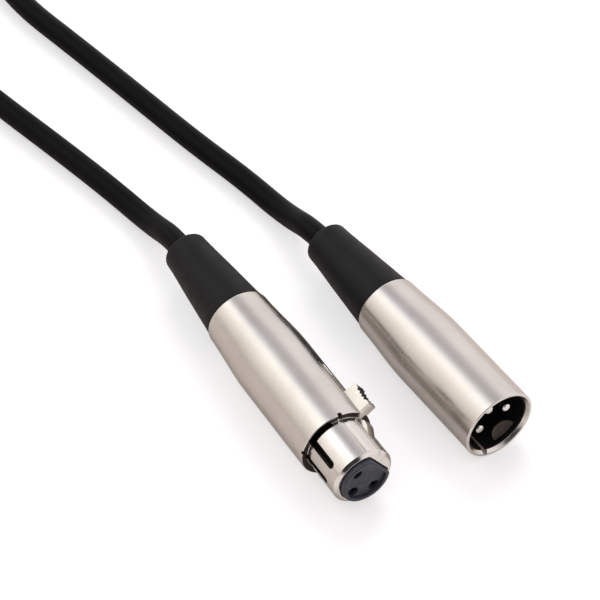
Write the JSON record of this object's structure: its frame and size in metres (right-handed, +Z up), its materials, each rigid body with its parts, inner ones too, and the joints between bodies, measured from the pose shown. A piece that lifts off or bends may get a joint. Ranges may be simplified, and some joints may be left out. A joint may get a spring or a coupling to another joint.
{
  "type": "xlr cable",
  "caption": "Balanced audio cable with a female and a male three-pin cable connector, tapered metal shells, black boots, a thumb latch and a coiled, tied cable.",
  "frame": {"origin": "on the floor, under the middle of the two connectors", "axes": "+Z up; -Y the way the female connector's mating end points; +X from the female connector to the male"},
  "size_m": [0.078, 0.3261, 0.026],
  "materials": {
    "shell_nickel": "satin, bead blasted",
    "nose_nickel": "polished",
    "latch_nickel": "satin",
    "boot_plastic": "smooth matt",
    "clamp_plastic": "natural",
    "cable_jacket": "satin",
    "insert_grey": "moulded",
    "insert_black": "moulded",
    "contact_brass": "bright",
    "contact_silver": "silver plated, bright",
    "tinned_brass": "tinned",
    "screw_steel": "plain",
    "spring_steel": "bright wire",
    "wire_red": "insulated core",
    "wire_white": "insulated core",
    "wire_bare": "stranded screen",
    "tie_nylon": "nylon"
  },
  "bodies": {
    "cable": {"cable_coil": "cable_jacket", "cable_lead_female": "cable_jacket", "cable_lead_male": "cable_jacket", "cable_tie": "tie_nylon", "female_boot": "boot_plastic", "female_clamp": "clamp_plastic", "female_contact_1": "contact_brass", "female_contact_2": "contact_brass", "female_contact_3": "contact_brass", "female_ground_lug": "tinned_brass", "female_insert": "insert_grey", "female_insert_rear": "insert_black", "female_jacket": "cable_jacket", "female_nose": "nose_nickel", "female_set_screw": "screw_steel", "female_shell": "shell_nickel", "female_wire_1": "wire_red", "female_wire_2": "wire_white", "female_wire_3": "wire_bare", "latch_pin": "screw_steel", "latch_spring": "spring_steel", "male_boot": "boot_plastic", "male_clamp": "clamp_plastic", "male_ground_lug": "tinned_brass", "male_insert": "insert_black", "male_jacket": "cable_jacket", "male_pin_1": "contact_silver", "male_pin_2": "contact_silver", "male_pin_3": "contact_silver", "male_set_screw": "screw_steel", "male_shell": "shell_nickel", "male_wire_1": "wire_red", "male_wire_2": "wire_white", "male_wire_3": "wire_bare"},
    "latch": {"latch_lever": "latch_nickel"}
  },
  "joints": [
    {"name": "latch_press", "type": "hinge", "parent": "cable", "child": "latch", "pos_m": [-0.01125, -0.01145, 0.01409], "axis": [0.5736, 0, -0.8192], "range_deg": [0, 3], "stiffness_Nm_per_rad": 0.9, "deforming": ["latch_spring"]}
  ]
}
